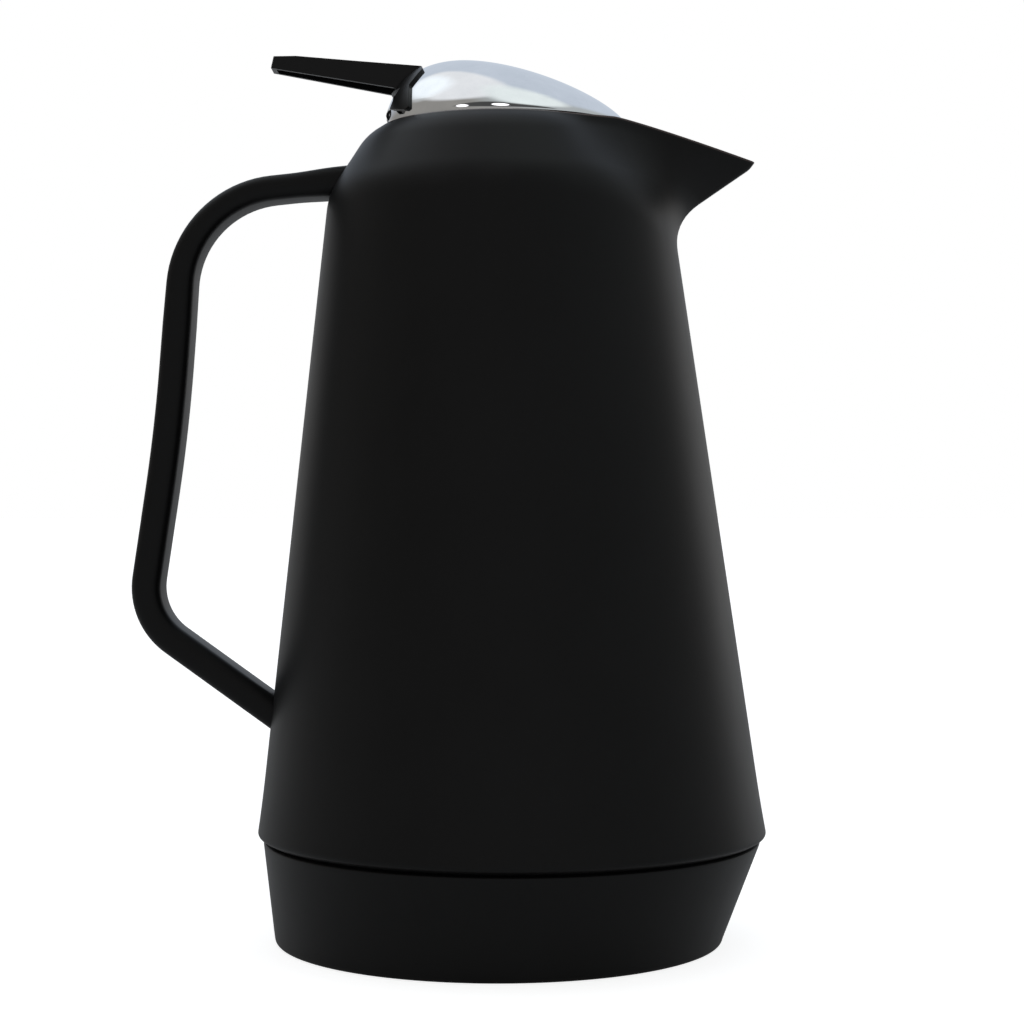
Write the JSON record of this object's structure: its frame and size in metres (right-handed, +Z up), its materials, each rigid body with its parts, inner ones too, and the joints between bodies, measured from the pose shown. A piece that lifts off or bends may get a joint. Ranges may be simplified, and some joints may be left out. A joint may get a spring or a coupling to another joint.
{
  "type": "thermal carafe",
  "caption": "Tall leaning cone jug with a double-walled flask, beak spout, bent bar handle and a domed flip lid that a thumb lever raises.",
  "frame": {"origin": "middle of the round foot, on the table", "axes": "+X to the spout, +Y to the jug's left when the spout points ahead, +Z up; the handle is at -X"},
  "size_m": [0.1888, 0.1512, 0.2634],
  "materials": {
    "body_plastic": "fine matte",
    "handle_plastic": "fine matte",
    "lever_plastic": "satin",
    "inner_plastic": "satin",
    "chrome": "mirror polish",
    "silvered_glass": "silvered inside the double wall",
    "seal_rubber": "matte",
    "steel": "bright",
    "foam": "cellular"
  },
  "bodies": {
    "jug": {"body_shell": "body_plastic", "base_cup": "body_plastic", "foot_ring": "seal_rubber", "support_plug": "inner_plastic", "flask_cushion": "seal_rubber", "glass_flask": "silvered_glass", "flask_spacers": "seal_rubber", "neck_gasket": "seal_rubber", "pour_collar": "inner_plastic", "collar_seal": "seal_rubber", "handle": "handle_plastic", "handle_screws": "steel", "hinge_bracket": "inner_plastic", "hinge_pin": "steel", "lid_spring": "steel"},
    "lid": {"lid_dome": "chrome", "lid_liner": "inner_plastic", "thumb_lever": "lever_plastic", "lever_screws": "steel", "stopper": "inner_plastic", "stopper_foam": "foam", "stopper_seal": "seal_rubber", "plug_screw": "steel"}
  },
  "joints": [
    {"name": "lid_hinge", "type": "hinge", "parent": "jug", "child": "lid", "pos_m": [-0.0314, 0, 0.2446], "axis": [0, -1, 0], "range_deg": [0, 42], "stiffness_Nm_per_rad": 0.05, "springref_deg": -34.38, "deforming": ["lid_spring"]}
  ]
}
